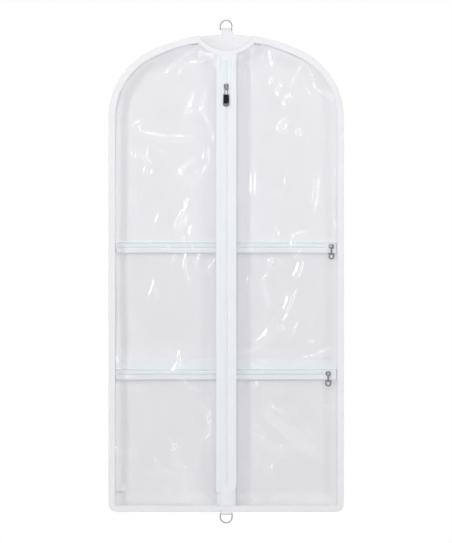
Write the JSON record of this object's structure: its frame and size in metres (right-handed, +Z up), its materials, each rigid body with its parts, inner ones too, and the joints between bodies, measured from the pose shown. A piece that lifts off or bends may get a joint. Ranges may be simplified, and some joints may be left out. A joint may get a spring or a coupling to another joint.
{
  "type": "garment bag",
  "caption": "Hanging garment bag with a clear vinyl front, arched top with a hanger opening, a full-length centre zip, zipped inner pockets and a wire ring at the top and the bottom.",
  "frame": {"origin": "centre of the hanger opening at the top of the bag, midway between front and back", "axes": "+X to the right seen from the front, +Y from the front to the back, +Z up along the centre zip"},
  "size_m": [0.6, 0.0736, 1.2889],
  "materials": {
    "clear_vinyl": "clear gloss",
    "back_fabric": "matte",
    "binding": "woven",
    "zip_tape": "woven",
    "zip_coil": "satin",
    "nickel": "polished",
    "inlay": "gloss",
    "webbing": "woven",
    "label": "satin"
  },
  "bodies": {
    "bag": {"front_panel_left": "clear_vinyl", "front_panel_right": "clear_vinyl", "gusset_shoulder_left": "clear_vinyl", "gusset_shoulder_right": "clear_vinyl", "gusset_side_left": "clear_vinyl", "gusset_side_right": "clear_vinyl", "gusset_bottom": "clear_vinyl", "upper_pocket_sheet": "clear_vinyl", "lower_pocket_sheet": "clear_vinyl", "back_panel": "back_fabric", "front_binding": "binding", "back_binding": "binding", "neck_binding": "binding", "neck_side_left": "binding", "neck_side_right": "binding", "zip_tape_left": "zip_tape", "zip_tape_right": "zip_tape", "zip_facing_left": "zip_tape", "zip_facing_right": "zip_tape", "upper_tape_top": "zip_tape", "upper_tape_bottom": "zip_tape", "pocket_hem": "zip_tape", "lower_tape_top": "zip_tape", "lower_tape_bottom": "zip_tape", "zip_coil_left": "zip_coil", "zip_coil_right": "zip_coil", "upper_coil_top": "zip_coil", "upper_coil_bottom": "zip_coil", "lower_coil_top": "zip_coil", "lower_coil_bottom": "zip_coil", "zip_top_stops": "nickel", "zip_bottom_stop": "nickel", "upper_stops": "nickel", "lower_stops": "nickel", "top_tab": "webbing", "bottom_tab": "webbing", "care_label": "label"},
    "zip_slider": {"zip_slider": "nickel"},
    "zip_pull": {"zip_pull": "nickel", "zip_pull_inlay": "inlay"},
    "upper_slider": {"upper_slider": "nickel"},
    "upper_pull": {"upper_pull": "nickel"},
    "lower_slider": {"lower_slider": "nickel"},
    "lower_pull": {"lower_pull": "nickel"},
    "top_ring": {"top_ring": "nickel"},
    "bottom_ring": {"bottom_ring": "nickel"}
  },
  "joints": [
    {"name": "zip_slide", "type": "slide", "parent": "bag", "child": "zip_slider", "axis": [0, 0, 1], "range_m": [-1, 0.06]},
    {"name": "zip_pull_swing", "type": "hinge", "parent": "zip_slider", "child": "zip_pull", "pos_m": [0, -0.0352, -0.1114], "axis": [1, 0, 0], "range_deg": [-170, 0]},
    {"name": "upper_zip_slide", "type": "slide", "parent": "bag", "child": "upper_slider", "axis": [1, 0, 0], "range_m": [-0.536, 0.001]},
    {"name": "upper_pull_swing", "type": "hinge", "parent": "upper_slider", "child": "upper_pull", "pos_m": [0.2691, 0.0127, -0.516], "axis": [1, 0, 0], "range_deg": [-170, 0]},
    {"name": "lower_zip_slide", "type": "slide", "parent": "bag", "child": "lower_slider", "axis": [1, 0, 0], "range_m": [-0.528, 0.009]},
    {"name": "lower_pull_swing", "type": "hinge", "parent": "lower_slider", "child": "lower_pull", "pos_m": [0.2611, 0.0127, -0.841], "axis": [1, 0, 0], "range_deg": [-170, 0]},
    {"name": "top_ring_swing", "type": "hinge", "parent": "bag", "child": "top_ring", "pos_m": [0, 0.0323, 0.0407], "axis": [1, 0, 0], "range_deg": [-160, 110]},
    {"name": "bottom_ring_swing", "type": "hinge", "parent": "bag", "child": "bottom_ring", "pos_m": [0, -0.0323, -1.1972], "axis": [1, 0, 0], "range_deg": [-160, 85]}
  ]
}
